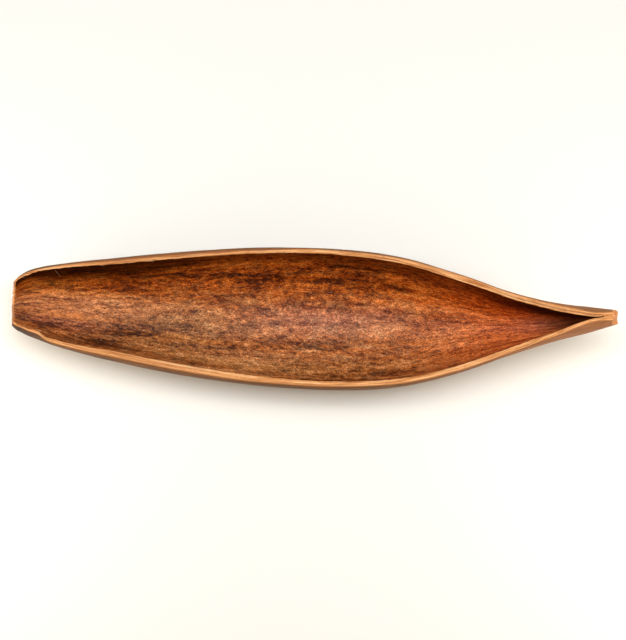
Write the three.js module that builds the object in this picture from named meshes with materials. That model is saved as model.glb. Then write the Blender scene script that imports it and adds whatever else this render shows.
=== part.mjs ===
// A dried coconut spathe: the woody bract that sheathed a coconut palm's flower cluster.
// It split along one side, dried as a boat-shaped shell and was cut square at its base. It is one piece:
// a shell that is open on top and at the base, and closes to a solid beak at the other end.
// Units are millimetres. +X runs from the cut base to the beak, +Y across, +Z up. It rests on its belly.

import * as THREE from "three";

const BASE_X = -300;
const BEAK_X = 300;

// Profiles along the length. Each is a list of [x, value], joined by a smooth curve.
const HALF_WIDTH = [
  [-300, 15.8], [-296, 21.6], [-292, 26], [-286, 29.7], [-267, 36.5], [-237, 43.4], [-192, 51.2], [-113, 62.6],
  [-34, 69.2], [25, 69.9], [85, 64.4], [144, 48.8], [203, 28.4], [243, 17.9], [273, 12.2], [300, 6.2],
];
const CENTRE_Y = [
  [-300, 6], [-293, 7.2], [-286, 8.1], [-276, 8.1], [-252, 6.3], [-190, 3.3], [-110, 1.2], [-30, 0.3], [60, -0.8],
  [145, -1.5], [205, 0.2], [245, 2.9], [275, 5.6], [300, 7.5],
];
const KEEL_Z = [
  [-300, 26], [-285, 17], [-262, 10], [-220, 4.8], [-140, 1], [-60, -0.35], [35, -0.45],
  [110, 2.4], [170, 12], [220, 26], [265, 43], [300, 62],
];
const WAIST_Z = [
  [-300, 41], [-265, 48], [-200, 52], [-60, 53.5], [60, 54], [150, 58], [205, 61], [245, 61.5],
  [273, 62.5], [300, 76],
];
// Height that a full crown over the waist would have: the walls lean in along it.
const CROWN = [[-300, 20], [-240, 28], [-120, 31], [190, 31], [243, 27], [273, 22], [283, 20], [292, 15.5], [300, 12]];
// How far each wall leans in above the waist, in degrees. At the base the natural margin is left on, and
// it curls in further. It is sawn off where the first steep stretch of each list ends.
const LEAN_NEAR = [
  [-300, 27], [-292, 30], [-286, 29.5], [-277, 27.5], [-267, 26], [-259, 14.5], [-252, 13.5], [-235, 15], [-192, 16.5],
  [-73, 15], [60, 15], [144, 12], [185, 13.5],
  [203, 17], [223, 27], [243, 38.5], [263, 60], [273, 68], [283, 66], [300, 43],
];
const LEAN_FAR = [
  [-300, 24], [-272, 24], [-240, 17], [-192, 16], [-73, 15], [60, 15], [144, 12], [185, 13.5],
  [203, 17], [223, 27], [243, 37.5], [263, 54.5], [273, 64], [283, 65], [300, 43],
];
const WALL_NEAR = [
  [-300, 2.3], [-282, 2.3], [-270, 3], [-258, 4], [-235, 4.4], [-200, 6], [-90, 6.6], [25, 5.2], [225, 5],
  [255, 4.1], [273, 3.5], [300, 3.5],
];
const WALL_FAR = [
  [-300, 2.3], [-260, 3], [-225, 4.6], [-110, 5.2],
  [25, 4.3], [85, 5.3], [144, 6.2], [200, 6.4], [255, 5.8], [273, 4.6], [300, 4],
];
const WALL_KEEL = [[-300, 4.6], [-200, 6], [0, 6.6], [200, 6], [300, 5]];

// The slit between the two lips narrows to a hairline, then ends where the beak is solid.
const SLIT_HALF = 0.45;
const SLIT_END_X = 286;
const HOLLOW_CLOSES_X = 235;

// The base's saw cut is square to the wall, so its inner edge stands back from its outer edge. It also leans
// back towards the rim, more on the near side than on the far one, and is wavy with one open crack.
const CUT_SET_BACK = 2.4;
const CUT_LEAN = 3.4;
const CUT_TURN = -0.4;
const CUT_REACH = 24;
const CUT_WAVE = 0.25;
const CUT_WAVES_ROUND = 7;
const CUT_FINE_WAVES_ROUND = 17;
const CUT_FINE_SHARE = 0.6;
const CUT_SMOOTH_TO_ANGLE = 12;
const CRACK_ANGLE = 40;
const CRACK_WIDTH = 4;
const CRACK_DEPTH = 1.8;
// The beak's end was sawn at a slant, its top standing back.
const BEAK_SET_BACK = 8.4;
const BEAK_SLANT_POWER = 2.5;
const BEAK_REACH = 24;
// Both cuts are set out for a wall that stops about here, and are carried on from it.
const RIM_ANGLE = 115;

// Lengthwise ribs outside and broad swells inside, as heights over the smooth wall. Each list holds where
// they begin and where they are at full height, or the other way round.
const RIB_PITCH = 9.5;
const RIB_HEIGHT = 0.55;
const RIB_DRIFT = 0.4;
const RIB_DRIFTS_ROUND = 5;
const RIB_DRIFT_PER_MM = 0.9;
const RIB_TOP_ANGLES = [80, 97];
const RIB_BASE_X = [-300, -270];
const RIB_BEAK_X = [215, 270];
const SWELL_PITCH = 25;
const SWELL_HEIGHT = 0.35;
const SWELL_TWIST_PER_MM = 0.6;
const SWELL_TOP_ANGLES = [75, 95];
const SWELL_BASE_X = [-290, -240];
const SWELL_BEAK_X = [150, 235];

// The hollow's wall stops just under the rim's inner edge, and never leans in past the steepest angle.
const UNDER_RIM = 1.5;
const STEEPEST_INNER_LEAN = 60;
const LEAST_REACH = 0.05;
const LEAST_LEAN_STEP = 0.6;

// The grid. Columns run from the keel to just over the waist, and then up the leaning wall to the rim.
const LEAN_START = 95;
const OUTER_COLUMNS = 30;
const OUTER_LEAN_COLUMNS = 4;
const INNER_COLUMNS = 11;
const INNER_LEAN_COLUMNS = 3;
const BASE_END_X = -250;
const BASE_STEPS = 14;
const BODY_STEPS = 28;
const HOLLOW_END_STEPS = 8;
const BEAK_STEPS = 3;

const radians = THREE.MathUtils.degToRad;
const clamp = THREE.MathUtils.clamp;

// A smooth curve through a profile's points: cubic pieces that share the slope at each point.
function along(points, x) {
  const last = points.length - 1;
  const rise = (i) => (points[i + 1][1] - points[i][1]) / (points[i + 1][0] - points[i][0]);
  const slope = (i) => {
    if (i === 0) return rise(0);
    if (i === last) return rise(last - 1);
    const before = points[i][0] - points[i - 1][0];
    const after = points[i + 1][0] - points[i][0];
    return (rise(i - 1) * after + rise(i) * before) / (before + after);
  };
  let i = 0;
  while (i < last - 1 && x > points[i + 1][0]) i++;
  const [x0, v0] = points[i];
  const [x1, v1] = points[i + 1];
  const h = x1 - x0;
  const t = (x - x0) / h;
  return (
    (2 * t ** 3 - 3 * t ** 2 + 1) * v0 + (t ** 3 - 2 * t ** 2 + t) * h * slope(i) +
    (3 * t ** 2 - 2 * t ** 3) * v1 + (t ** 3 - t ** 2) * h * slope(i + 1)
  );
}

// Everything that shapes one wall at x. side is +1 for the far wall and -1 for the near one.
function wallAt(x, side) {
  const halfWidth = along(HALF_WIDTH, x);
  const waist = along(WAIST_Z, x);
  const crown = along(CROWN, x);
  const lean = radians(along(side > 0 ? LEAN_FAR : LEAN_NEAR, x));
  const wall = along(side > 0 ? WALL_FAR : WALL_NEAR, x);
  const rimHalf = halfWidth * Math.cos(lean);
  return {
    side,
    centre: along(CENTRE_Y, x),
    halfWidth,
    waist,
    crown,
    depth: waist - along(KEEL_Z, x),
    lean,
    wall,
    floorWall: along(WALL_KEEL, x),
    rimHalf,
    rimZ: waist + crown * Math.sin(lean),
    gapHalf: Math.max(rimHalf - wall, SLIT_HALF),
  };
}

// A point of the section, angle degrees round from the keel: an ellipse below the waist, and above it
// the quarter of a flatter one, so that the wall stands upright where they meet.
function onSection(w, angle, halfWidth, depth, crown) {
  const turn = radians(angle);
  const y = w.centre + w.side * halfWidth * Math.sin(turn);
  const z = w.waist - (angle <= 90 ? depth : crown) * Math.cos(turn);
  return [y, z];
}

// 0 before the range and 1 after it, with a smooth step between.
function fade([from, to], x) {
  return THREE.MathUtils.smoothstep(x, from, to);
}

// Ribs are strongest low on the body, and die out at the rim, the base and the beak.
function ribs(x, side, angle) {
  const strength = (1 - fade(RIB_TOP_ANGLES, angle)) * fade(RIB_BASE_X, x) * (1 - fade(RIB_BEAK_X, x));
  const drift = 1 + RIB_DRIFT * Math.sin(radians(RIB_DRIFTS_ROUND * angle * side + RIB_DRIFT_PER_MM * x));
  return RIB_HEIGHT * strength * drift * Math.cos(radians((360 / RIB_PITCH) * angle));
}

function swells(x, angle) {
  const strength = (1 - fade(SWELL_TOP_ANGLES, angle)) * fade(SWELL_BASE_X, x) * (1 - fade(SWELL_BEAK_X, x));
  return SWELL_HEIGHT * strength * Math.cos(radians((360 / SWELL_PITCH) * angle + SWELL_TWIST_PER_MM * x));
}

// How far the base's cut edge stands in from the plane of the cut: a wavy edge with one open crack. It is
// plain at the keel, which keeps the full length.
function cutEdge(signed) {
  const broad = 1 + Math.sin(radians(CUT_WAVES_ROUND * signed));
  const fine = CUT_FINE_SHARE * (1 + Math.sin(radians(CUT_FINE_WAVES_ROUND * signed)));
  const crack = CRACK_DEPTH * Math.max(0, 1 - Math.abs(signed - CRACK_ANGLE) / CRACK_WIDTH);
  return (CUT_WAVE * (broad + fine) + crack) * fade([0, CUT_SMOOTH_TO_ANGLE], Math.abs(signed));
}

// How far round from the keel towards the rim an angle is: 0 at the keel and 1 at the waist.
function rise(angle) {
  return 1 - Math.cos(radians(angle));
}

// Moves a station's points near the two ends on to the saw cuts, and leaves the others where they are.
function trimmed(x, side, angle, setBack) {
  const baseShare = clamp(1 - (x - BASE_X) / CUT_REACH, 0, 1);
  const beakShare = clamp((x - (BEAK_X - BEAK_REACH)) / BEAK_REACH, 0, 1);
  const slant = CUT_LEAN * rise(angle) + CUT_TURN * Math.sin(radians(side * angle));
  const beakSlant = BEAK_SET_BACK * Math.min(rise(angle) / rise(RIM_ANGLE), 1) ** BEAK_SLANT_POWER;
  return x + baseShare * (setBack + Math.max(0, slant) + cutEdge(side * angle)) - beakShare * beakSlant;
}

function outerPoint(station, side, angle) {
  const x = trimmed(station, side, angle, 0);
  const w = wallAt(x, side);
  const [y0, z0] = onSection(w, angle, w.halfWidth, w.depth, w.crown);
  const turn = radians(angle);
  const lift = ribs(x, side, angle);
  return new THREE.Vector3(x, y0 + side * lift * Math.sin(turn), Math.max(0, z0 - lift * Math.cos(turn)));
}

// The hollow's end closes on the slit: its points draw in to the middle of the slit.
function drawIn(x) {
  const share = clamp((x - HOLLOW_CLOSES_X) / (SLIT_END_X - HOLLOW_CLOSES_X), 0, 1);
  return Math.sqrt(1 - share * share);
}

function innerPoint(station, side, angle) {
  const x = trimmed(station, side, angle, CUT_SET_BACK);
  const w = wallAt(x, side);
  const lift = swells(x, angle);
  const [y0, z0] = onSection(w, angle, w.halfWidth - w.wall - lift, w.depth - w.floorWall - lift, w.crown - w.wall);
  const keep = drawIn(station);
  const y = w.centre + (y0 - w.centre) * keep;
  const z = w.rimZ + (z0 - w.rimZ) * keep;
  return new THREE.Vector3(x, y, z);
}

// The wall where it meets the rim, at the rim's outer edge or at its inner one.
function wallAtRim(station, side, setBack) {
  return wallAt(trimmed(station, side, RIM_ANGLE, setBack), side);
}

// The angle at which the hollow's wall stops.
function innerTopAngle(w) {
  const highest = Math.sin(radians(STEEPEST_INNER_LEAN));
  const reach = clamp((w.rimZ - UNDER_RIM - w.waist) / (w.crown - w.wall), LEAST_REACH, highest);
  return Math.max(90 + THREE.MathUtils.radToDeg(Math.asin(reach)), LEAN_START + LEAST_LEAN_STEP);
}

// Angles from the keel to the top, in two even stretches that meet at LEAN_START.
function angles(columns, leanColumns, top) {
  const low = Array.from({ length: columns + 1 }, (_, i) => (LEAN_START * i) / columns);
  const high = Array.from({ length: leanColumns }, (_, i) => LEAN_START + ((top - LEAN_START) * (i + 1)) / leanColumns);
  return [...low, ...high];
}

// One row of points at a station, from the near rim down under the keel and up to the far rim.
function outerRow(station) {
  const half = (side) => {
    const top = 90 + THREE.MathUtils.radToDeg(wallAtRim(station, side, 0).lean);
    return angles(OUTER_COLUMNS, OUTER_LEAN_COLUMNS, top).map((angle) => outerPoint(station, side, angle));
  };
  return [...half(-1).reverse(), ...half(1).slice(1)];
}

function innerRow(station) {
  const half = (side) => {
    const top = innerTopAngle(wallAtRim(station, side, CUT_SET_BACK));
    const row = angles(INNER_COLUMNS, INNER_LEAN_COLUMNS, top).map((angle) => innerPoint(station, side, angle));
    const edgeX = trimmed(station, side, RIM_ANGLE, CUT_SET_BACK);
    const edge = wallAt(edgeX, side);
    return [...row, new THREE.Vector3(edgeX, edge.centre + side * edge.gapHalf, edge.rimZ)];
  };
  return [...half(-1).reverse(), ...half(1).slice(1)];
}

function steps(from, to, count) {
  return Array.from({ length: count }, (_, i) => from + ((to - from) * i) / count);
}

// Stations are close together where the base rounds and where the hollow closes.
const hollowStations = [
  ...steps(BASE_X, BASE_END_X, BASE_STEPS),
  ...steps(BASE_END_X, HOLLOW_CLOSES_X, BODY_STEPS),
  ...steps(HOLLOW_CLOSES_X, SLIT_END_X, HOLLOW_END_STEPS),
];
const beakStations = [...steps(SLIT_END_X, BEAK_X, BEAK_STEPS), BEAK_X];

function spatheGeometry() {
  const positions = [];
  const triangles = [];
  const point = (p) => positions.push(p.x, p.y, p.z) / 3 - 1;
  const face = (a, b, c) => {
    if (a !== b && b !== c && c !== a) triangles.push(a, b, c);
  };

  // Joins two rows of points, which may differ in number, along their lengths.
  const join = (one, two) => {
    let i = 0;
    let j = 0;
    while (i < one.length - 1 || j < two.length - 1) {
      const step = j === two.length - 1 || (i < one.length - 1 && (i + 1) / (one.length - 1) <= (j + 1) / (two.length - 1));
      if (step) {
        face(one[i], two[j], one[i + 1]);
        i++;
      } else {
        face(one[i], two[j], two[j + 1]);
        j++;
      }
    }
  };
  const joinAll = (rows) => rows.slice(1).forEach((row, i) => join(rows[i], row));

  const outer = [...hollowStations, ...beakStations].map((station) => outerRow(station).map(point));
  const inner = hollowStations.map((station) => innerRow(station).map(point));

  // The slit's end is one point, on which the hollow's last row closes. A ridge runs on from it.
  const ridge = beakStations.map((station) => {
    const x = trimmed(station, 1, RIM_ANGLE, 0);
    const w = wallAt(x, 1);
    return point(new THREE.Vector3(x, w.centre, w.rimZ));
  });
  inner.push(inner[0].map(() => ridge[0]));

  joinAll(outer.map((row) => [...row].reverse()));
  joinAll(inner);

  // The rim's two flat edges, and beyond the slit the band where they meet.
  const nearEdge = outer.map((row) => row[0]);
  const farEdge = outer.map((row) => row[row.length - 1]);
  const nearLip = [...inner.map((row) => row[0]), ...ridge.slice(1)];
  const farLip = [...inner.map((row) => row[row.length - 1]), ...ridge.slice(1)];
  join(nearLip, nearEdge);
  join(farEdge, farLip);

  // The cut face at the base, and the sawn end of the beak.
  join(outer[0], inner[0]);
  const end = outer[outer.length - 1];
  const last = ridge[ridge.length - 1];
  end.slice(1).forEach((p, i) => face(last, end[i], p));

  const geometry = new THREE.BufferGeometry();
  geometry.setAttribute("position", new THREE.Float32BufferAttribute(positions, 3));
  geometry.setIndex(triangles);
  geometry.computeVertexNormals();
  return geometry;
}

function spatheMesh() {
  const wood = new THREE.MeshStandardMaterial({ color: 0x8a4f26, roughness: 0.7, metalness: 0 });
  const mesh = new THREE.Mesh(spatheGeometry(), wood);
  mesh.name = "spathe";
  return mesh;
}

const part = new THREE.Group();
part.name = "coconut_spathe";
part.add(spatheMesh());

export default part;
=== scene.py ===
# %% [markdown]
# # A dried coconut spathe
#
# A spathe is the woody bract that sheaths a coconut palm's flower cluster. It splits along one side, dries
# as a boat-shaped shell, and is cut off at its base. This one lies on its belly with its hollow up.
#
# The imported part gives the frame: where the shell is, how big it is and where its walls run. This script
# lays one fine skin over it from the same profiles, with ribs, fibres, pits and splits worked into the
# surface, and paints three materials on it: the inside, the outside and the sawn edges. Loose fibres, a
# floor, four lights and the camera follow.

import bmesh
import bpy
import numpy as np
from mathutils import Matrix, Vector


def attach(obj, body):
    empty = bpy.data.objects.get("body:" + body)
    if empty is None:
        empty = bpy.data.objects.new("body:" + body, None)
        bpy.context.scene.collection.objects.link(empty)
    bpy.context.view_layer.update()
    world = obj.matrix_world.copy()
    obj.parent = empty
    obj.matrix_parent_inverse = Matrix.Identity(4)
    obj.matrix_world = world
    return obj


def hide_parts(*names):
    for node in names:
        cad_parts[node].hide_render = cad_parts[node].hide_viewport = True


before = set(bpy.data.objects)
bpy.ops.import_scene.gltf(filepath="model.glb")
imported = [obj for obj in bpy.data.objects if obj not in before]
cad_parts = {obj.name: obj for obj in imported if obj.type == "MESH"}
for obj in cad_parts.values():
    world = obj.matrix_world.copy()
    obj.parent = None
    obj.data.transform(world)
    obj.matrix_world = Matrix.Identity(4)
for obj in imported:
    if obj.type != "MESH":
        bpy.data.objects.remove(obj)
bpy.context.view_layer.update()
MM = 0.001

# %% [markdown]
# ## Profiles along the length
#
# Every list is [x, value] in millimetres or degrees, with +X from the cut base to the beak. A smooth curve
# joins its points. Angles run round the section from the keel: 90 degrees is the waist, where the wall
# stands upright, and past it the wall leans in by a few degrees before it reaches the rim.

# %% The shell's profiles
BASE_X = -300
BEAK_X = 300

HALF_WIDTH = [
    [-300, 15.8], [-296, 21.6], [-292, 26], [-286, 29.7], [-267, 36.5], [-237, 43.4], [-192, 51.2],
    [-113, 62.6], [-34, 69.2], [25, 69.9], [85, 64.4], [144, 48.8], [203, 28.4], [243, 17.9],
    [273, 12.2], [300, 6.2],
]
CENTRE_Y = [
    [-300, 6], [-293, 7.2], [-286, 8.1], [-276, 8.1], [-252, 6.3], [-190, 3.3], [-110, 1.2],
    [-30, 0.3], [60, -0.8], [145, -1.5], [205, 0.2], [245, 2.9], [275, 5.6], [300, 7.5],
]
KEEL_Z = [
    [-300, 26], [-285, 17], [-262, 10], [-220, 4.8], [-140, 1], [-60, -0.35], [35, -0.45],
    [110, 2.4], [170, 12], [220, 26], [265, 43], [300, 62],
]
WAIST_Z = [
    [-300, 41], [-265, 48], [-200, 52], [-60, 53.5], [60, 54], [150, 58], [205, 61], [245, 61.5],
    [273, 62.5], [300, 76],
]
CROWN = [
    [-300, 20], [-240, 28], [-120, 31], [190, 31], [243, 27], [273, 22], [283, 20], [292, 15.5], [300, 12],
]
LEAN_NEAR = [
    [-300, 27], [-292, 30], [-286, 29.5], [-277, 27.5], [-267, 26], [-259, 14.5], [-252, 13.5],
    [-235, 15], [-192, 16.5], [-73, 15], [60, 15], [144, 12], [185, 13.5],
    [203, 17], [223, 27], [243, 38.5], [263, 60], [273, 68], [283, 66], [300, 43],
]
LEAN_FAR = [
    [-300, 24], [-272, 24], [-240, 17], [-192, 16], [-73, 15], [60, 15], [144, 12], [185, 13.5],
    [203, 17], [223, 27], [243, 37.5], [263, 54.5], [273, 64], [283, 65], [300, 43],
]
WALL_NEAR = [
    [-300, 2.3], [-282, 2.3], [-270, 3], [-258, 4], [-235, 4.4], [-200, 6],
    [-90, 6.6], [25, 5.2], [225, 5], [255, 4.1], [273, 3.5], [300, 3.5],
]
WALL_FAR = [
    [-300, 2.3], [-260, 3], [-225, 4.6], [-110, 5.2],
    [25, 4.3], [85, 5.3], [144, 6.2], [200, 6.4], [255, 5.8], [273, 4.6], [300, 4],
]
WALL_KEEL = [[-300, 4.6], [-200, 6], [0, 6.6], [200, 6], [300, 5]]

# The slit at the beak, the two saw cuts, and the open split in the one at the base.
SLIT_HALF = 0.45
SLIT_END_X = 286
HOLLOW_CLOSES_X = 235
CUT_SET_BACK = 2.4
CUT_LEAN = 3.4
CUT_TURN = -0.4
CUT_REACH = 24
OPEN_SPLIT_ANGLE = 40
OPEN_SPLIT_HALF_ANGLE = 2.4
OPEN_SPLIT_DEPTH = 1.9
BEAK_SET_BACK = 8.4
BEAK_SLANT_POWER = 2.5
BEAK_REACH = 24
BEAK_END_INSET = 0.4

# The angle at which the cuts and the hollow's edge take the rims to lie, and how far across the far rim its
# groove runs, from 0 to 1.
RIM_ANGLE = 115
GROOVE_PLACE = 0.6


def along(points, x):
    """The smooth curve through a profile: cubic pieces that share their slope at each point, which is the
    mean of the two chords' slopes, weighted to the shorter chord."""
    knots, values = np.array(points, float).T
    gap = np.diff(knots)
    rise = np.diff(values) / gap
    slope = np.empty_like(values)
    slope[0], slope[-1] = rise[0], rise[-1]
    slope[1:-1] = (rise[:-1] * gap[1:] + rise[1:] * gap[:-1]) / (gap[:-1] + gap[1:])
    i = np.clip(np.searchsorted(knots, x) - 1, 0, len(gap) - 1)
    t = (x - knots[i]) / gap[i]
    return (
        (2 * t**3 - 3 * t**2 + 1) * values[i] + (t**3 - 2 * t**2 + t) * gap[i] * slope[i]
        + (3 * t**2 - 2 * t**3) * values[i + 1] + (t**3 - t**2) * gap[i] * slope[i + 1]
    )


def fade(start, stop, x):
    """0 before start and 1 after stop, with a smooth step between them."""
    t = np.clip((x - start) / (stop - start), 0, 1)
    return t * t * (3 - 2 * t)


def wall_at(x, side):
    """What shapes one wall at each x. side is 1 for the far wall (+Y) and -1 for the near one."""
    half = along(HALF_WIDTH, x)
    waist = along(WAIST_Z, x)
    crown = along(CROWN, x)
    lean = np.radians(along(LEAN_FAR if side > 0 else LEAN_NEAR, x))
    wall = along(WALL_FAR if side > 0 else WALL_NEAR, x)
    rim_half = half * np.cos(lean)
    return dict(
        side=side, centre=along(CENTRE_Y, x), half=half, waist=waist, crown=crown, lean=lean, wall=wall,
        depth=waist - along(KEEL_Z, x), floor_wall=along(WALL_KEEL, x), rim_half=rim_half,
        rim_z=waist + crown * np.sin(lean),
        gap=np.maximum(rim_half - wall, SLIT_HALF),
    )


# %% [markdown]
# ## Relief
#
# Fibres run lengthwise, so most of the relief is smooth noise that is stretched along x: random numbers on
# a lattice, blended between its points. The lattice is laid out in millimetres along x and in degrees round
# the section, so the fibres draw together towards the beak, as the real ones do.

# %% Noise and the marks on the hollow
LATTICE = 257


def noise(u, v, seed):
    """Smooth random heights from -1 to 1: a seeded lattice of numbers, blended by a smooth step."""
    table = np.random.default_rng(seed).uniform(-1, 1, (LATTICE, LATTICE))
    i, j = np.floor(u).astype(int), np.floor(v).astype(int)
    s, t = u - i, v - j
    s, t = s * s * (3 - 2 * s), t * t * (3 - 2 * t)
    at = lambda a, b: table[(i + a) % LATTICE, (j + b) % LATTICE]
    low = at(0, 0) * (1 - s) + at(1, 0) * s
    high = at(0, 1) * (1 - s) + at(1, 1) * s
    return low * (1 - t) + high * t


# Splits and dents in the hollow: the points that each runs through as [x, signed angle], and then its half
# width in degrees and its depth in millimetres. Angles on the far wall are positive.
SPLITS = [
    ([[-138, -29.5], [-119, -30.5], [-104, -31.5], [-90, -29.5], [-74, -26.5]], 1.5, 0.9),
    ([[-94, -26.5], [-86, -22.5], [-80, -21.8], [-74, -26.5]], 1.0, 0.6),
    ([[-128, -18.8], [-115, -17.5]], 0.9, 0.5),
    ([[-166, -27.5], [-152, -25]], 0.9, 0.5),
    ([[-299, 35], [-290, 30], [-272, 25.5]], 1.0, 0.8),
    ([[-214, 28], [-190, 27.2], [-150, 27.6]], 0.7, 0.4),
]

# Stains as [x, signed angle, half length, half width in degrees, strength].
STAINS = [
    [-186, 22.5, 6, 2.0, 1.0], [-179, 20.5, 4, 1.6, 0.9], [-66, 26.5, 8, 2.4, 0.8], [-58, 22.5, 6, 2.6, 0.9],
    [-52, 19.5, 4, 1.6, 0.8], [-88, 50, 22, 2.6, 0.8], [-60, 40.5, 26, 2.2, 0.6], [-20, 17, 4, 1.4, 0.8],
    [9, -22, 10, 3.0, 1.0], [5, -22, 32, 3.6, 0.7], [34, -19, 20, 3.0, 0.5], [64, -53, 16, 4.0, 0.6],
    [112, -21, 22, 2.2, 0.4], [-260, 38, 6, 3.2, 0.8], [-245, 36, 8, 2.6, 0.8], [-202, 45, 5, 2.0, 0.8],
    [-193, 31, 5, 2.0, 0.8], [-210, -45.5, 16, 4.0, 0.6], [-193, -29, 9, 2.6, 0.6], [-120, 33, 12, 2.0, 0.6],
    [-140, 38, 12, 2.2, 0.6], [-145, 51, 55, 3.0, 0.7], [-60, 47.5, 45, 3.0, 0.75], [15, 40, 35, 2.6, 0.6],
    [-5, 50, 24, 3.0, 0.6], [40, 44, 20, 2.4, 0.5], [90, 60, 30, 4.0, 0.5], [-28, -53, 12, 2.2, 0.3],
]

# Broad drifts of lighter (positive) and darker (negative) skin, in the same form as the stains.
DRIFTS = [
    [-186, 36, 34, 9, -0.4], [-75, 46, 45, 8, -0.45], [-75, 25, 24, 6, -0.2], [-188, -14, 28, 10, -0.3],
    [-212, -46, 28, 11, -0.45], [-30, -9, 36, 7, 0.25], [-80, -48, 55, 10, 0.25], [33, 40, 36, 8, -0.4],
    [66, -54, 26, 7, -0.2], [138, 28, 42, 12, 0.3], [148, -24, 30, 12, 0.15], [-271, -34, 24, 11, -0.3],
    [-283, 14, 18, 9, 0.2], [8, -18, 26, 7, -0.3], [58, 62, 36, 8, -0.4],
]

# Soft patches of four other colours, also in that form. The first two mauve patches, in the middle of the
# hollow's floor, are a painted sheen; the other two are the skin's own mauve.
PALE = [
    [-240, 22, 45, 9, 0.9], [-215, 3, 60, 9, 0.7], [-60, -8, 50, 8, 0.5], [-180, 10, 40, 10, 0.4],
    [40, 1, 45, 8, 0.6], [-60, -38, 60, 8, 0.5],
]
OLIVE = [
    [-125, -6, 55, 20, 0.8], [-60, -48, 140, 15, 0.7], [-180, -30, 50, 14, 0.4], [-264, 43, 28, 7, 0.9],
]
MAUVE_AND_SHEEN = [[10, 4, 70, 13, 0.8], [72, 15, 16, 5, 0.5], [-250, -25, 45, 10, 0.6], [235, 25, 28, 50, 0.8]]
ORANGE = [[-205, 6, 50, 5, 0.8], [-10, 36, 70, 8, 0.5], [-240, -5, 30, 8, 0.5], [-190, 40, 60, 7, 0.3]]


def near_line(x, angle, line, width):
    """1 on a split's line, falling to 0 at its width, and tapering at the line's two ends."""
    xs, angles = np.array(line, float).T
    away = np.abs(angle - np.interp(x, xs, angles)) / width
    inside = np.clip((x - xs[0]) / 4, 0, 1) * np.clip((xs[-1] - x) / 4, 0, 1)
    return np.clip(1 - away, 0, 1) * inside


def splits(x, angle):
    """How deep each point of the hollow lies in a split, in millimetres."""
    wander = angle + 0.8 * noise(x / 7, angle / 9, 41)
    return sum(depth * near_line(x, wander, line, width) for line, width, depth in SPLITS)


def stains(x, angle):
    """Soft-edged dark patches, broken up by the grain, from 0 to 1."""
    ragged_x = x + 5 * noise(x / 9, angle / 1.6, 42)
    ragged_angle = angle + 1.2 * noise(x / 14, angle / 3, 43)
    total = np.zeros_like(x)
    for at_x, at_angle, length, width, strength in STAINS:
        away = np.hypot((ragged_x - at_x) / length, (ragged_angle - at_angle) / width)
        total = np.maximum(total, strength * (1 - fade(0.35, 1.15, away)))
    return total


def soft_patches(x, angle, places):
    """The sum of soft round patches, each strongest at its middle and near 0 past its length and width."""
    total = np.zeros_like(x)
    for at_x, at_angle, length, width, strength in places:
        total += strength * np.exp(-((x - at_x) / length) ** 2 - ((angle - at_angle) / width) ** 2)
    return total


def drifts(x, angle):
    """The broad drifts, with wandering outlines."""
    wander_x = x + 9 * noise(x / 22, angle / 5, 44)
    wander_angle = angle + 2.5 * noise(x / 26, angle / 6, 45)
    return soft_patches(wander_x, wander_angle, DRIFTS)


RIB_PITCH = 9.5
RIB_HEIGHT = 0.55
SWELL_PITCH = 25
SWELL_HEIGHT = 0.35


def outer_relief(x, side, angle):
    """Height over the smooth outside: the broad ribs, with fibres and shallow dents on them."""
    signed = side * angle
    strength = (1 - fade(80, 97, angle)) * fade(-300, -270, x) * (1 - fade(215, 270, x))
    drift = 1 + 0.4 * np.sin(np.radians(5 * signed + 0.9 * x))
    ribs = RIB_HEIGHT * strength * drift * np.cos(np.radians(360 / RIB_PITCH * angle))
    fibres = 0.16 * noise(x / 34, signed / 1.7, 11) + 0.1 * noise(x / 11, signed / 2.3, 12)
    dents = 0.3 * noise(x / 70, signed / 22, 13)
    return ribs + (fibres + dents) * fade(-300, -285, x) * (1 - fade(270, 298, x))


def inner_relief(x, side, angle):
    """Height over the smooth hollow: broad swells and bundles of fibres, less the splits."""
    signed = side * angle
    strength = (1 - fade(75, 95, angle)) * fade(-290, -240, x) * (1 - fade(150, 235, x))
    swell = SWELL_HEIGHT * strength * np.cos(np.radians(360 / SWELL_PITCH * angle + 0.6 * x))
    fibres = 0.14 * noise(x / 26, signed / 2.1, 21) + 0.1 * noise(x / 9, signed / 1.9, 22)
    bundles = 0.25 * noise(x / 90, signed / 7, 23)
    flat_end = 1 - fade(200, 255, x)
    return swell + (fibres + bundles) * flat_end - splits(x, signed)


# %% [markdown]
# ## The skin's grid
#
# One grid covers the whole shell. A row is a closed loop round the section: the outside from the near rim
# under the keel to the far rim, over the far rim, down the hollow and up to the near rim, and over that rim.
# The rows run from the base to the beak. At the base, extra rows close the loop on itself halfway through
# the wall, and so make the cut face. At the beak, extra rows shrink the loop to a point. Where rows or
# columns collapse on to one another, their points are merged.

# %% Stations and columns
LEAN_START = 95
LOW_COLUMNS = 54
LEAN_COLUMNS = 8
RIM_COLUMNS = 6
HALF_COLUMNS = LOW_COLUMNS + LEAN_COLUMNS

stations = np.concatenate([
    np.arange(-300, -262, 1.2),
    np.arange(-262, 200, 2.05),
    np.arange(200, 285.5, 1.5),
    [285.9],
    np.arange(286, 297, 1.2),
    np.linspace(297, 300, 4),
])[:, None]


def half_angles(top):
    """Angles from the keel to the top of one wall, in two even stretches that meet at LEAN_START."""
    k = np.arange(HALF_COLUMNS + 1)[None, :]
    low = LEAN_START * k / LOW_COLUMNS
    high = LEAN_START + (top - LEAN_START) * (k - LOW_COLUMNS) / LEAN_COLUMNS
    return np.where(k <= LOW_COLUMNS, low, high)


def section(w, angle, half, depth, crown):
    """A point of the section: an ellipse below the waist, and a flatter one above it."""
    turn = np.radians(angle)
    y = w["centre"] + w["side"] * half * np.sin(turn)
    z = w["waist"] - np.where(angle <= 90, depth, crown) * np.cos(turn)
    return y, z


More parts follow.
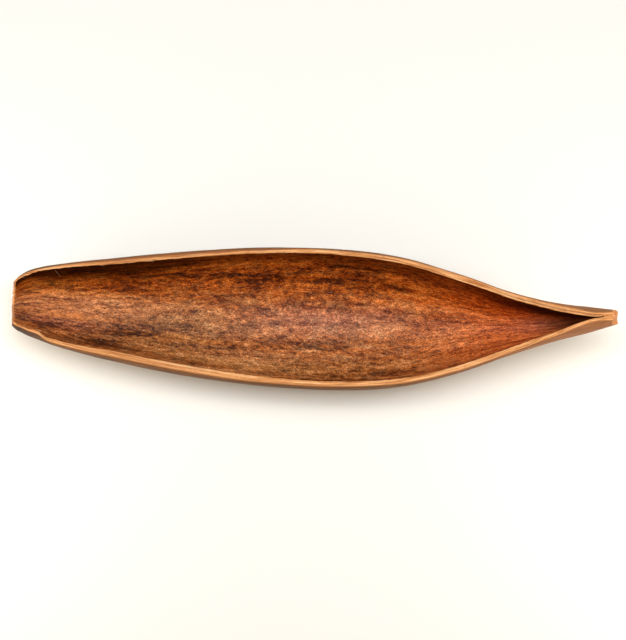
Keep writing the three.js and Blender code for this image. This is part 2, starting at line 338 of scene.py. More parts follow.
def trimmed(x, signed, set_back):
    """Moves the rows near both ends on to the two saw cuts. The base's cut leans back towards the rim, and
    has a slightly wavy edge with one open split. The beak's cut stands back towards its top."""
    rise = 1 - np.cos(np.radians(signed))
    base_share = np.clip(1 - (x - BASE_X) / CUT_REACH, 0, 1)
    wave = 0.25 * (1 + noise(signed / 9, 0 * signed, 31)) + 0.15 * noise(signed / 2.7, 0 * signed, 32)
    split = OPEN_SPLIT_DEPTH * np.clip(1 - np.abs(signed - OPEN_SPLIT_ANGLE) / OPEN_SPLIT_HALF_ANGLE, 0, 1)
    edge = (wave + split) * fade(2, 10, np.abs(signed))
    beak_share = np.clip((x - (BEAK_X - BEAK_REACH)) / BEAK_REACH, 0, 1)
    full_rise = 1 - np.cos(np.radians(RIM_ANGLE))
    slant = np.maximum(0, CUT_LEAN * rise + CUT_TURN * np.sin(np.radians(signed)))
    return (
        x + base_share * (set_back + slant + edge)
        - beak_share * BEAK_SET_BACK * np.minimum(rise / full_rise, 1) ** BEAK_SLANT_POWER
    )


def top_angle(side):
    """The angle at which each row's outside meets the rim."""
    at_rim = trimmed(stations, side * RIM_ANGLE + 0 * stations, 0)
    return 90 + np.degrees(wall_at(at_rim, side)["lean"])


def outer_half(side):
    """The outside of one wall, from the keel to the rim's outer edge, as x, y, z and the angle."""
    angle = half_angles(top_angle(side))
    x = trimmed(stations, side * angle, 0)
    w = wall_at(x, side)
    y, z = section(w, angle, w["half"], w["depth"], w["crown"])
    lift = outer_relief(x, side, angle)
    turn = np.radians(angle)
    y = y + side * lift * np.sin(turn)
    z = np.maximum(0, z - lift * np.cos(turn))
    return np.stack([x, y, z], -1), side * angle


def ragged_gap(w, x, side):
    """Half of the opening at the rim's inner edge, left ragged by the saw, and most ragged on the natural
    margins at the base."""
    torn = 1 + 1.6 * (1 - fade(-275, -235, x))
    ragged = torn * (0.22 * noise(x / 2.6, 0 * x + side, 51) + 0.22 * noise(x / 9, 0 * x + side, 52))
    return np.maximum(w["gap"] + ragged * (1 - fade(225, 262, x)), SLIT_HALF)


def draw_in(x):
    """How much of the hollow's section is left as it closes on the slit: a quarter ellipse from 1 to 0."""
    share = np.clip((x - HOLLOW_CLOSES_X) / (SLIT_END_X - HOLLOW_CLOSES_X), 0, 1)
    return np.sqrt(1 - share**2)


def inner_half(side):
    """The hollow's side of one wall, from the keel to just under the rim's inner edge."""
    at_rim = wall_at(trimmed(stations, side * RIM_ANGLE + 0 * stations, CUT_SET_BACK), side)
    reach = (at_rim["rim_z"] - 1.2 - at_rim["waist"]) / (at_rim["crown"] - at_rim["wall"])
    top = 90 + np.degrees(np.arcsin(np.clip(reach, 0.05, np.sin(np.radians(60)))))
    angle = half_angles(np.maximum(top, LEAN_START + 0.6))
    x = trimmed(stations, side * angle, CUT_SET_BACK)
    w = wall_at(x, side)
    lift = inner_relief(x, side, angle)
    y, z = section(
        w, angle, w["half"] - w["wall"] - lift, w["depth"] - w["floor_wall"] - lift, w["crown"] - w["wall"]
    )
    keep = draw_in(stations)
    y = w["centre"] + (y - w["centre"]) * keep
    z = w["rim_z"] + (z - w["rim_z"]) * keep
    out = side * (y - w["centre"])
    y = np.where(angle > 91, w["centre"] + side * np.minimum(out, ragged_gap(w, x, side) + 0.3), y)
    points = np.stack([x, y, z], -1)
    closed = stations[:, 0] >= SLIT_END_X
    points[closed] = rim_strip(side)[closed, -1][:, None]
    return points, side * angle


def rim_strip(side):
    """The sawn rim from its outer edge to its inner edge, both edges included: slightly crowned, rough
    across the saw's path, and with a groove between two layers of the wall near the beak."""
    t = np.linspace(0, 1, RIM_COLUMNS)[None, :]
    x = trimmed(stations + 0 * t, side * top_angle(side) + 0 * t, CUT_SET_BACK * t)
    w = wall_at(x, side)
    gap = np.where(stations < SLIT_END_X, ragged_gap(w, x, side), 0)
    y = w["centre"] + side * (w["rim_half"] + (gap - w["rim_half"]) * t)
    crown = 0.25 * (1 - (2 * t - 1) ** 4)
    rough = 0.1 * noise(x / 3.5, t * 5 + 3 * side, 53) + 0.12 * noise(x / 22, t * 3, 54)
    groove = 0.55 * (np.abs(t - GROOVE_PLACE) < 0.11) * fade(170, 200, x) * (1 - fade(268, 284, x))
    inside = (t > 0) & (t < 1)
    z = w["rim_z"] + np.where(inside, crown + rough - groove * (side > 0) - 0.2, 0)
    return np.stack([x, y, z], -1)


# %% [markdown]
# ## Join the pieces of each row
#
# The cut face at the base starts halfway through the wall, so its first row pairs each column of the outside
# with the column of the hollow that faces it.

# %% Rows of the grid
def mirrored(near, far):
    """One row from the near rim down to the keel and up to the far rim, with the keel's column once."""
    return np.concatenate([near[:, ::-1], far[:, 1:]], axis=1)


outer_near, angle_near = outer_half(-1)
outer_far, angle_far = outer_half(1)
inner_near, hollow_near = inner_half(-1)
inner_far, hollow_far = inner_half(1)
outer = mirrored(outer_near, outer_far)
inner = mirrored(inner_near, inner_far)
rim_far = rim_strip(1)
rim_near = rim_strip(-1)

# The outer rim edge is the outside's own last column, so that the two meet exactly.
rim_far[:, 0] = outer[:, -1]
rim_near[:, 0] = outer[:, 0]

loop = np.concatenate([outer, rim_far[:, 1:], inner[:, ::-1], rim_near[:, :0:-1]], axis=1)
OUTER_COLUMNS = outer.shape[1]
RIM_STEPS = RIM_COLUMNS - 1
COLUMNS = loop.shape[1]

# The signed angle of each point of the grid. The masks take all of a rim to lie at one angle.
RIM_MASK_ANGLE = 110
column_angle = np.concatenate([
    mirrored(angle_near, angle_far), 0 * rim_far[:, 1:, 0] + RIM_MASK_ANGLE,
    mirrored(hollow_near, hollow_far)[:, ::-1], 0 * rim_near[:, 1:, 0] - RIM_MASK_ANGLE,
], axis=1)


def cut_face_rows():
    """Rows from the middle of the wall out to both edges of the cut face at the base."""
    first = loop[0]
    facing = np.empty_like(first)
    hollow = slice(OUTER_COLUMNS + RIM_STEPS, 2 * OUTER_COLUMNS + RIM_STEPS)
    facing[:OUTER_COLUMNS] = first[hollow][::-1]
    facing[hollow] = first[:OUTER_COLUMNS][::-1]
    facing[OUTER_COLUMNS:hollow.start] = first[OUTER_COLUMNS - 1]
    facing[hollow.stop:] = first[0]
    middle = (first + facing) / 2
    middle[OUTER_COLUMNS:hollow.start] = middle[OUTER_COLUMNS - 1]
    middle[hollow.stop:] = middle[0]
    grain = 0.35 * noise(first[:, 1] / 1.3, first[:, 2] / 1.3, 61)
    half = (first + middle) / 2
    half[:, 0] += grain
    return np.stack([middle, half])


def beak_rows():
    """Rows that shrink the last loop to a point over the flat sawn end, which is set in by a hair just inside
    its edge."""
    last = loop[-1]
    centre = (last.min(0) + last.max(0)) / 2
    rows = []
    for scale, set_in in ((0.93, 0.05), (0.62, 0), (0.3, 0), (0.0, 0)):
        row = centre + (last - centre) * scale
        row[:, 0] -= set_in
        rows.append(row)
    return np.stack(rows)


# The sawn end stands a little inside the solid's.
loop[-1, :, 0] -= BEAK_END_INSET
rows = np.concatenate([cut_face_rows(), loop, beak_rows()])
FIRST_ROW = 2
LAST_ROW = FIRST_ROW + len(loop) - 1

# %% [markdown]
# ## Marks for the materials
#
# The materials need to know where they are. Each point carries its grain coordinates, which are millimetres
# along the fibres and across them, and soft masks that run from 0 to about 1. The hollow's masks place its
# drifts, stains and patches, one of which is partly a painted sheen. Another mask places painted shade
# inside and outside, and the rims' masks say how brown the sawn wood is.

# %% Grain coordinates and masks
WIDTH_PER_DEGREE = 1.2
FAR_RIM = slice(OUTER_COLUMNS - 1, OUTER_COLUMNS + RIM_STEPS)
NEAR_RIM = slice(COLUMNS - RIM_STEPS, COLUMNS)
ACROSS_RIM = np.linspace(-1, 1, RIM_COLUMNS)

grid_x = stations + 0 * column_angle


def for_all_rows(values):
    """Copies the first and last rows' values on to the extra rows at the base and the beak."""
    return np.concatenate([values[:1]] * 2 + [values] + [values[-1:]] * 4)


def painted_shade_mask():
    """Where painted shade darkens the skin: inside, under the rims and in the beak, and outside, along both
    rims at the base."""
    near_base = 1 - fade(-200, -60, grid_x)
    near_beak = fade(120, 235, grid_x)
    wide = 14 * np.maximum(near_base * fade(-292, -262, grid_x), near_beak)
    depth = 0.5 + 0.5 * near_base + 0.5 * near_beak
    under_far_rim = fade(50 - wide, 80 - wide, column_angle) * depth
    under_near_rim = 0.1 * fade(40, 75, -column_angle) * (1 - near_beak)
    in_beak = fade(205, 262, grid_x) * (0.95 - 0.85 * fade(0, 60, -column_angle))
    painted_shade = np.clip(under_far_rim + under_near_rim + in_beak, 0, 1)
    outer_base = fade(60, 92, np.abs(column_angle)) * (1 - fade(-290, -225, grid_x))
    painted_shade[:, :OUTER_COLUMNS] = outer_base[:, :OUTER_COLUMNS]
    return painted_shade


def edge_mask():
    """How near each point of a rim is to the brown skin on either side of the sawn wood."""
    edge = np.zeros_like(grid_x)
    edge[:, FAR_RIM] = np.maximum(-ACROSS_RIM, 0.2 * ACROSS_RIM)
    edge[:, NEAR_RIM] = np.maximum(-ACROSS_RIM, 0.4 * ACROSS_RIM)[:0:-1]
    edge[:, 0] = 1

    # Between the base and the widest part, the brown skin wraps over the outer half of the far rim.
    brown_reach = 0.55 * fade(-290, -200, stations) * (1 - fade(-60, 10, stations))
    edge[:, FAR_RIM] = np.clip(edge[:, FAR_RIM] + brown_reach * (ACROSS_RIM < 0), 0, 1.2)

    # The near half of the cut face at the base is dark.
    edge[0] = np.maximum(edge[0], 0.85 * (column_angle[0] < 8))
    return edge


def groove_mask():
    """1 along the groove in the far rim near the beak."""
    mark = np.zeros_like(grid_x)
    mark[:, OUTER_COLUMNS - 1 + round(GROOVE_PLACE * RIM_STEPS)] = 1
    return mark * fade(165, 195, grid_x) * (1 - fade(270, 286, grid_x))


def rim_brown_mask():
    """The rims are browner towards the base, the far one most of all over its outer part, and the beak's cut
    is brown too."""
    towards_base = 1 - fade(-140, -60, grid_x)
    brown = 0.45 * towards_base + fade(298, 300, grid_x)
    brown[:, FAR_RIM] = (ACROSS_RIM < 0.5) * towards_base[:, FAR_RIM]
    return brown


masks = dict(
    redness=fade(60, 230, grid_x),
    far_wall=fade(5, 45, column_angle),
    painted_shade=painted_shade_mask(),
    dark=np.clip(stains(grid_x, column_angle) + 1.7 * splits(grid_x, column_angle), 0, 1),
    drift=drifts(grid_x, column_angle),
    pale=soft_patches(grid_x, column_angle, PALE),
    olive=soft_patches(grid_x, column_angle, OLIVE),
    mauve_and_sheen=soft_patches(grid_x, column_angle, MAUVE_AND_SHEEN),
    orange=soft_patches(grid_x, column_angle, ORANGE),
    edge=edge_mask(),
    groove=groove_mask(),
    rim_brown=rim_brown_mask(),
)

# The middle of the far and the near rim at each row, from which the grain across the rim is counted. Both
# are moved apart, so that the rims don't share their fibres.
RIMS_APART = 60
middle_far = rim_far[:, :, 1].mean(1, keepdims=True) - RIMS_APART
middle_near = rim_near[:, :, 1].mean(1, keepdims=True) + RIMS_APART
rim_line = np.where(np.arange(COLUMNS)[None, :] < COLUMNS // 2, middle_far, middle_near)

# %% Build the mesh
HOLLOW, OUTSIDE, SAWN = range(3)
MERGE_DISTANCE = 0.02 * MM


def add_object(name, data):
    """A new object at the scene's origin."""
    added = bpy.data.objects.new(name, data)
    bpy.context.scene.collection.objects.link(added)
    return added


def build_skin():
    """One mesh from the grid: quads between neighbouring rows and columns, merged where they collapse."""
    count = len(rows)
    row, column = np.meshgrid(np.arange(count - 1), np.arange(COLUMNS), indexing="ij")
    following = (column + 1) % COLUMNS
    corners = np.stack([
        row * COLUMNS + column, (row + 1) * COLUMNS + column,
        (row + 1) * COLUMNS + following, row * COLUMNS + following,
    ], -1).reshape(-1, 4)
    mesh = bpy.data.meshes.new("spathe_skin")
    mesh.from_pydata((rows.reshape(-1, 3) * MM).tolist(), [], corners.tolist())

    hollow = (column >= OUTER_COLUMNS + RIM_STEPS - 1) & (column < 2 * OUTER_COLUMNS + RIM_STEPS)
    material = np.where(column < OUTER_COLUMNS - 1, OUTSIDE, np.where(hollow, HOLLOW, SAWN))
    material = np.where((row < FIRST_ROW) | (row >= LAST_ROW), SAWN, material)
    mesh.polygons.foreach_set("material_index", material.ravel().astype(np.int32))

    # Across the rim the angle is constant, so there the grain is set out across its width instead.
    on_rim = np.zeros(COLUMNS, bool)
    on_rim[FAR_RIM] = True
    on_rim[NEAR_RIM] = True
    round_section = for_all_rows(column_angle) * WIDTH_PER_DEGREE
    across_fibres = np.where(on_rim[None, :], rows[:, :, 1] - for_all_rows(rim_line), round_section)
    grain = np.stack([rows[:, :, 0], across_fibres, 0.3 * rows[:, :, 2]], -1).reshape(-1, 3)
    mesh.attributes.new("grain", "FLOAT_VECTOR", "POINT").data.foreach_set("vector", grain.ravel())
    for name, values in masks.items():
        attribute = mesh.attributes.new(name, "FLOAT", "POINT")
        attribute.data.foreach_set("value", for_all_rows(values).ravel().astype(np.float32))
    return mesh


def merge_collapsed(mesh, distance):
    """Merges points that lie on each other, and drops the faces that this leaves without area."""
    shape = bmesh.new()
    shape.from_mesh(mesh)
    bmesh.ops.remove_doubles(shape, verts=shape.verts, dist=distance)
    bmesh.ops.dissolve_degenerate(shape, edges=shape.edges, dist=distance / 4)
    bmesh.ops.recalc_face_normals(shape, faces=shape.faces)
    open_edges = sum(len(edge.link_faces) != 2 for edge in shape.edges)
    shape.to_mesh(mesh)
    shape.free()
    return open_edges


skin_mesh = build_skin()
open_edges = merge_collapsed(skin_mesh, MERGE_DISTANCE)
skin_mesh.shade_smooth()
spathe = add_object("spathe_skin", skin_mesh)
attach(spathe, "root")
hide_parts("spathe")
print("skin:", len(skin_mesh.vertices), "points,", len(skin_mesh.polygons), "faces")
print("open edges:", open_edges)

# %% [markdown]
# ## Materials
#
# Each material mixes a few browns with noise that is stretched along the grain. Colours are written as
# six-digit screen colours, and one function turns them into the linear values that the shader needs.

# %% Node helpers
def screen_colour(code):
    """The linear RGBA of a six-digit screen colour."""
    parts = [int(code[i:i + 2], 16) / 255 for i in (0, 2, 4)]
    linear = [c / 12.92 if c <= 0.04045 else ((c + 0.055) / 1.055) ** 2.4 for c in parts]
    return (*linear, 1.0)


class Shader:
    """A material's node tree, with short calls that add a node, set its values and join its inputs."""

    def __init__(self, name):
        self.material = bpy.data.materials.new(name)
        self.material.use_nodes = True
        self.tree = self.material.node_tree
        self.surface = self.tree.nodes["Principled BSDF"]

    def add(self, kind, inputs=(), **values):
        """Adds a node. Each input is a socket to join or a value to set."""
        node = self.tree.nodes.new(kind)
        for key, value in values.items():
            setattr(node, key, value)
        for key, value in dict(inputs).items():
            if isinstance(value, bpy.types.NodeSocket):
                self.tree.links.new(value, node.inputs[key])
            else:
                node.inputs[key].default_value = value
        return node

    def mask(self, name):
        """One of the mesh's masks."""
        return self.add("ShaderNodeAttribute", attribute_name=name).outputs["Fac"]

    def grain(self, along_mm, across_mm):
        """Grain coordinates, scaled so that noise has these sizes along and across the fibres."""
        place = self.add("ShaderNodeAttribute", attribute_name="grain").outputs["Vector"]
        scale = (1 / along_mm, 1 / across_mm, 1 / across_mm)
        return self.add("ShaderNodeMapping", {"Vector": place, "Scale": scale}).outputs["Vector"]

    def noise(self, along_mm, across_mm, detail=3.0, roughness=0.6):
        """Noise from 0 to 1 whose marks have these sizes."""
        where = self.grain(along_mm, across_mm)
        inputs = {"Vector": where, "Scale": 1.0, "Detail": detail, "Roughness": roughness}
        return self.add("ShaderNodeTexNoise", inputs).outputs["Fac"]

    def ramp(self, factor, stops):
        """A colour ramp with stops as (place, screen colour)."""
        node = self.add("ShaderNodeValToRGB", {"Fac": factor})
        elements = node.color_ramp.elements
        while len(elements) < len(stops):
            elements.new(0.5)
        for element, (place, code) in zip(elements, stops):
            element.position = place
            element.color = screen_colour(code)
        return node.outputs["Color"]

    def span(self, value, low, high, to_low=0.0, to_high=1.0):
        """Rescales a value from one range to another, and holds it inside that."""
        inputs = {"Value": value, "From Min": low, "From Max": high, "To Min": to_low, "To Max": to_high}
        return self.add("ShaderNodeMapRange", inputs).outputs["Result"]

    def times(self, one, two):
        """The product of two values."""
        return self.add("ShaderNodeMath", {0: one, 1: two}, operation="MULTIPLY").outputs["Value"]

    def plus(self, one, two):
        """The sum of two values."""
        return self.add("ShaderNodeMath", {0: one, 1: two}, operation="ADD").outputs["Value"]

    def mix(self, factor, one, two, blend="MIX"):
        """Mixes two colours, each a socket or a screen colour."""
        colours = [c if isinstance(c, bpy.types.NodeSocket) else screen_colour(c) for c in (one, two)]
        inputs = {"Factor": factor, 6: colours[0], 7: colours[1]}
        return self.add("ShaderNodeMix", inputs, data_type="RGBA", blend_type=blend).outputs[2]

    def shaded(self, colour, value):
        """The colour, made darker or lighter by a value about 1."""
        grey = self.add("ShaderNodeCombineColor", {0: value, 1: value, 2: value}).outputs[0]
        return self.mix(1.0, colour, grey, "MULTIPLY")

    def finish(self, colour, roughness, height, depth_mm):
        """Joins the colour, roughness and bump to the surface."""
        bump = self.add("ShaderNodeBump", {"Height": height, "Distance": depth_mm * MM, "Strength": 1.0})
        self.tree.links.new(colour, self.surface.inputs["Base Color"])
        self.tree.links.new(roughness, self.surface.inputs["Roughness"])
        self.tree.links.new(bump.outputs["Normal"], self.surface.inputs["Normal"])
        return self.material


# %% The hollow's satin skin
def hollow_skin():
    """Red-brown inner skin: soft bands and scruffy flakes along the grain, with specks, pits and stains.
    Painted shade darkens the far wall, the skin under the rims and the beak, and a painted sheen lies on
    the middle of the floor.
    """
    s = Shader("spathe_hollow_skin")
    bands = s.noise(50, 9.0, 3, 0.55)
    flakes = s.noise(7.5, 4.4, 4, 0.62)
    fine = s.noise(2.8, 1.3, 3, 0.7)
    speckle = s.noise(1.5, 1.3, 2, 0.6)
    tone = s.plus(s.times(bands, 0.36), s.plus(s.times(flakes, 0.42), s.times(fine, 0.22)))
    tone = s.plus(tone, s.times(s.mask("drift"), 0.22))
    level = s.span(tone, 0.4, 0.61)
    colour = s.ramp(tone, [
        (0.39, "320F00"), (0.45, "7A380E"), (0.505, "A65A26"), (0.56, "C2743A"), (0.63, "E69C62"),
    ])
    red_blotches = s.span(s.noise(34, 11, 3, 0.6), 0.46, 0.6)
    colour = s.mix(s.times(red_blotches, 0.55), colour, s.mix(level, "5C2400", "D26E24"))
    dull_blotches = s.span(s.noise(16, 7, 4, 0.65), 0.48, 0.6)
    colour = s.mix(s.times(dull_blotches, 0.5), colour, s.mix(level, "42220A", "A6764C"))
    # Each mask mixes in its own colours. The mauve one is partly a painted sheen on the middle of the floor.
    for name, share, darkest, palest in (
        ("olive", 0.6, "4C2A0A", "B48248"),
        ("orange", 0.75, "7A3A06", "EE8830"),
        ("redness", 0.85, "7C2206", "EC742E"),
        ("pale", 0.6, "924A1C", "EAA46E"),
        ("mauve_and_sheen", 0.45, "703028", "D08870"),
    ):
        colour = s.mix(s.times(s.mask(name), share), colour, s.mix(level, darkest, palest))
    # Painted shade: the far wall's inside faces away from the lights, so it is tinted darker and redder.
    colour = s.mix(s.mask("far_wall"), colour, "FADC98", "MULTIPLY")
    # Painted shade, near black, under the rims and in the beak.
    colour = s.mix(s.times(s.mask("painted_shade"), 0.93), colour, s.mix(level, "080200", "421802"))
    shade = s.times(s.span(speckle, 0.36, 0.64, 0.5, 1.36), s.span(fine, 0.34, 0.66, 0.84, 1.3))
    colour = s.shaded(colour, shade)
    dark_flakes = s.span(s.noise(14, 5.0, 4, 0.6), 0.56, 0.66)
    colour = s.mix(s.times(dark_flakes, 0.45), colour, "2E1004")
    pits = s.span(s.plus(s.noise(2.8, 1.9, 2, 0.5), s.times(s.mask("olive"), 0.05)), 0.64, 0.7)
    colour = s.mix(s.times(pits, 0.7), colour, "1C0A02")
    stain = s.times(s.mask("dark"), s.span(flakes, 0.4, 0.58, 1.0, 0.6))
    colour = s.mix(s.times(stain, 0.92), colour, "220F0A")
    # Pale flecks: partly fibre ends and partly painted glints, faded out where the shade is painted.
    flecks_and_glints = s.span(s.noise(2.9, 1.4, 1, 0.4), 0.67, 0.73)
    shadiness = s.plus(s.mask("painted_shade"), s.times(s.mask("far_wall"), 0.3))
    colour = s.mix(s.times(flecks_and_glints, s.span(shadiness, 0, 0.5, 0.4, 0.06)), colour, "E8B080")
    rough = s.span(fine, 0.3, 0.7, 0.4, 0.62)
    height = s.plus(s.times(tone, 1.2), s.plus(s.times(fine, 0.4), s.times(pits, -0.5)))
    sheen = s.times(s.span(s.mask("far_wall"), 0, 1, 0.22, 0.1), s.span(s.mask("painted_shade"), 0, 0.8, 1.0, 0.2))
    s.tree.links.new(sheen, s.surface.inputs["Specular IOR Level"])
    return s.finish(colour, rough, height, 0.5)


# %% The ribbed outside
def outside_skin():
    """Brown weathered outer skin, paler and tan towards the beak, with a dusty bloom along the ribs.
    Painted shade darkens it along both rims at the base.
    """
    s = Shader("spathe_outside_skin")
    streaks = s.noise(45, 1.3, 5, 0.65)
    patches = s.noise(60, 16, 3, 0.5)
    fine = s.noise(5, 0.8, 3, 0.7)
    colour = s.ramp(streaks, [(0.34, "361C08"), (0.46, "704018"), (0.56, "925C28"), (0.68, "B88446")])
    colour = s.mix(s.span(patches, 0.48, 0.68, 0, 0.45), colour, "8A6A48")
    level = s.span(streaks, 0.36, 0.64)
    colour = s.mix(s.times(s.mask("redness"), 0.8), colour, s.mix(level, "6E3A1A", "BE7C46"))
    # Painted shade along both rims at the base.
    colour = s.mix(s.times(s.mask("painted_shade"), 0.9), colour, s.mix(level, "200F06", "4C2C14"))
    colour = s.shaded(colour, s.span(fine, 0.34, 0.66, 0.7, 1.25))
    rough = s.span(fine, 0.3, 0.7, 0.55, 0.8)
    height = s.plus(s.times(streaks, 0.7), s.times(fine, 0.4))
    s.surface.inputs["Specular IOR Level"].default_value = 0.35
    return s.finish(colour, rough, height, 0.6)


# %% The sawn edges
def sawn_edge():
    """Pale tan sawn wood: long fibres, brown where the skin begins on either side, and a few nicks."""
    s = Shader("spathe_sawn_edge")
    fibres = s.noise(42, 1.2, 4, 0.65)
    patches = s.noise(24, 2.4, 3, 0.6)
    fine = s.noise(2.6, 1.0, 3, 0.6)
    colour = s.ramp(fibres, [(0.37, "A05C2A"), (0.46, "D08A4A"), (0.56, "EAA668"), (0.67, "FACA90")])
    colour = s.mix(s.span(patches, 0.52, 0.68, 0, 0.6), colour, "AE6830")
    colour = s.mix(s.times(s.mask("rim_brown"), 0.85), colour, "D4CCC2", "MULTIPLY")
    edge = s.span(s.plus(s.mask("edge"), s.span(fibres, 0.38, 0.62, -0.3, 0.3)), 0.6, 1.0)
    colour = s.mix(s.times(edge, 0.85), colour, "7A421E")
    colour = s.mix(s.times(s.mask("groove"), 0.6), colour, "643816")
    nicks = s.span(fine, 0.62, 0.69)
    colour = s.mix(s.times(nicks, 0.6), colour, "7A421C")
    rough = s.span(fine, 0.3, 0.7, 0.6, 0.8)
    height = s.plus(s.times(fibres, 0.6), s.times(fine, 0.4))
    s.surface.inputs["Specular IOR Level"].default_value = 0.3
    return s.finish(colour, rough, height, 0.35)


for make in (hollow_skin, outside_skin, sawn_edge):
    skin_mesh.materials.append(make())

# %% [markdown]
# ## Loose fibres
#
# Dry fibres lift off the cut base and the hollow's edge. Each is a thin tapered hair with its foot in the
# wall, and all of them are one mesh.

# %% Loose fibres
HAIR_SIDES = 4
HAIR_STEPS = 7


def hair(foot, tip, sag, radius):
    """One tapered tube from foot to tip, bowed by its sag: points and quads."""
    t = np.linspace(0, 1, HAIR_STEPS)[:, None]
    middle = foot + (tip - foot) * t + np.array([0, 0, sag]) * 4 * t * (1 - t)
    ahead = (tip - foot) / np.linalg.norm(tip - foot)
    side_way = np.cross(ahead, [0.1, 0.2, 1.0])
    side_way /= np.linalg.norm(side_way)
    up_way = np.cross(ahead, side_way)
    turn = np.arange(HAIR_SIDES) * 2 * np.pi / HAIR_SIDES
    ring = np.cos(turn)[:, None] * side_way + np.sin(turn)[:, None] * up_way
    points = (middle[:, None] + radius * (1 - 0.8 * t[:, None]) * ring[None]).reshape(-1, 3)
    step, corner = np.meshgrid(np.arange(HAIR_STEPS - 1), np.arange(HAIR_SIDES), indexing="ij")
    following = (corner + 1) % HAIR_SIDES
    quads = np.stack([
        step * HAIR_SIDES + corner, step * HAIR_SIDES + following,
        (step + 1) * HAIR_SIDES + following, (step + 1) * HAIR_SIDES + corner,
    ], -1).reshape(-1, 4)
    last = (HAIR_STEPS - 1) * HAIR_SIDES
    caps = np.array([[3, 2, 1, 0], [last, last + 1, last + 2, last + 3]])
    return points, np.concatenate([quads, caps])


def hollow_point(x, signed):
    """A point on the smooth hollow, in millimetres."""
    w = wall_at(np.array(float(x)), np.sign(signed))
    half, depth, crown = w["half"] - w["wall"], w["depth"] - w["floor_wall"], w["crown"] - w["wall"]
    y, z = section(w, np.array(abs(signed)), half, depth, crown)
    return np.array([x, float(y), float(z)])


def loose_fibres():
    """A pale hair that hangs off the far wall, and short fibres along the rims and the cut base."""
    draw = np.random.default_rng(7)
    hairs = [(hollow_point(-257.5, 84) + [0, 1.2, 0], hollow_point(-251.5, 57) + [0, -1.0, 1.0], 2.0, 0.2)]
    for x in draw.uniform(-290, 210, 26):
        side = draw.choice([-1, 1])
        w = wall_at(np.array(x), side)
        foot = np.array([x, float(w["centre"] + side * (w["gap"] + 0.4)), float(w["rim_z"]) - 0.5])
        reach = np.array([draw.uniform(2, 7), -side * draw.uniform(0.4, 1.6), draw.uniform(-1.0, 0.6)])
        hairs.append((foot, foot + reach, 0.3, draw.uniform(0.09, 0.16)))
    for signed in draw.uniform(-70, 70, 14):
        foot = hollow_point(-296.5, signed)
        tip = foot + [-draw.uniform(0.6, 2.2), draw.uniform(-0.8, 0.8), draw.uniform(-0.2, 0.8)]
        hairs.append((foot + [1.2, 0, -0.5], tip, 0.1, draw.uniform(0.1, 0.18)))
    points, quads, start = [], [], 0
    for foot, tip, sag, radius in hairs:
        p, q = hair(np.array(foot), np.array(tip), sag, radius)
        points.append(p)
        quads.append(q + start)
        start += len(p)
    mesh = bpy.data.meshes.new("loose_fibres")
    mesh.from_pydata((np.concatenate(points) * MM).tolist(), [], np.concatenate(quads).tolist())
    mesh.shade_smooth()
    return mesh


def dry_fibre():
    """Pale straw fibre."""
    s = Shader("spathe_dry_fibre")
    place = s.add("ShaderNodeTexCoord").outputs["Object"]
    tint = s.add("ShaderNodeTexNoise", {"Vector": place, "Scale": 400.0}).outputs["Fac"]
    colour = s.mix(tint, "B98A58", "E4C79A")
    return s.finish(colour, s.span(tint, 0, 1, 0.5, 0.7), tint, 0.05)


fibres = add_object("loose_fibres", loose_fibres())
fibres.data.materials.append(dry_fibre())
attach(fibres, "root")
print("loose fibres:", len(fibres.data.polygons), "faces")

# %% [markdown]
# ## Floor, light and camera
#
# The spathe lies on a plain pale floor. Two broad, slightly cool lights hang high up, one overhead and one
# further back, so the far wall shades its own inside and a soft shadow falls on the near side. A small warm
# light stands low beyond each end and lifts the shadow there. The camera looks almost straight down.

# %% Floor
def white_floor():
    """A matt white sheet with the faintest mottling."""
    s = Shader("white_floor")
    place = s.add("ShaderNodeTexCoord").outputs["Object"]
    mottle = s.add("ShaderNodeTexNoise", {"Vector": place, "Scale": 3.0}).outputs["Fac"]
    colour = s.mix(mottle, "F2EFE5", "F4F1E7")
    return s.finish(colour, s.span(mottle, 0, 1, 0.85, 0.95), mottle, 0.01)


FLOOR_HALF = 3.0
floor_corners = [(FLOOR_HALF * x, FLOOR_HALF * y, 0) for x, y in ((-1, -1), (1, -1), (1, 1), (-1, 1))]
floor_mesh = bpy.data.meshes.new("floor")
floor_mesh.from_pydata(floor_corners, [], [(0, 1, 2, 3)])
floor_mesh.materials.append(white_floor())
floor = add_object("floor", floor_mesh)

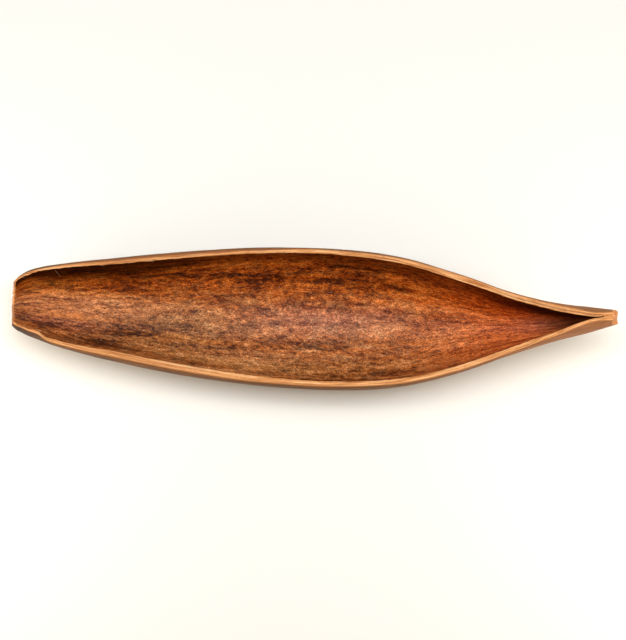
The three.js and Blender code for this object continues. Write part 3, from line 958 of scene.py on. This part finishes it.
# %% Lights
AIM_AT = Vector((0, 0, 0.03))
WARM = (1, 0.88, 0.74)
WORLD_COLOUR = (1.0, 0.87, 0.7, 1)
WORLD_STRENGTH = 0.12


def area_light(name, place, size_x, size_y, power, colour):
    """A soft rectangular light that points at the middle of the spathe."""
    data = bpy.data.lights.new(name, "AREA")
    data.shape = "RECTANGLE"
    data.size, data.size_y = size_x, size_y
    data.energy = power
    data.color = colour
    light = add_object(name, data)
    light.location = place
    light.rotation_euler = (AIM_AT - Vector(place)).to_track_quat("-Z", "Y").to_euler()


area_light("softbox_behind", (0.0, 0.55, 1.8), 4.4, 0.7, 21, (0.97, 1, 1.06))
area_light("softbox_above", (0.0, 0.1, 1.9), 4.4, 0.8, 37.6, (0.97, 1, 1.05))
area_light("softbox_base", (-0.55, -0.14, 0.2), 0.3, 0.2, 1.1, WARM)
area_light("softbox_beak", (0.56, -0.14, 0.2), 0.3, 0.2, 1.15, WARM)

world = bpy.data.worlds.new("studio")
world.use_nodes = True
background = world.node_tree.nodes["Background"]
background.inputs["Color"].default_value = WORLD_COLOUR
background.inputs["Strength"].default_value = WORLD_STRENGTH
bpy.context.scene.world = world
bpy.context.scene.view_settings.view_transform = "Standard"

# %% Camera
PHOTO_LONG_SIDE = 640
FOCAL_PIXELS = 1632.8
SENSOR_MM = 36
DISTANCE = 1.6
TILT = np.radians(7.5)
ROLL = np.radians(1.75)
LOOK_AT = np.array([1.7, -2.5, 60.0]) * MM

forward = np.array([0, np.sin(TILT), -np.cos(TILT)])
level_right = np.array([1.0, 0, 0])
level_up = np.cross(level_right, forward)
right = np.cos(ROLL) * level_right + np.sin(ROLL) * level_up
up = np.cos(ROLL) * level_up - np.sin(ROLL) * level_right

camera_data = bpy.data.cameras.new("camera")
camera_data.sensor_width = SENSOR_MM
camera_data.lens = FOCAL_PIXELS * SENSOR_MM / PHOTO_LONG_SIDE
camera = add_object("camera", camera_data)
turned = Matrix(np.array([right, up, -forward]).T.tolist()).to_4x4()
camera.matrix_world = Matrix.Translation(LOOK_AT - forward * DISTANCE) @ turned
bpy.context.scene.camera = camera
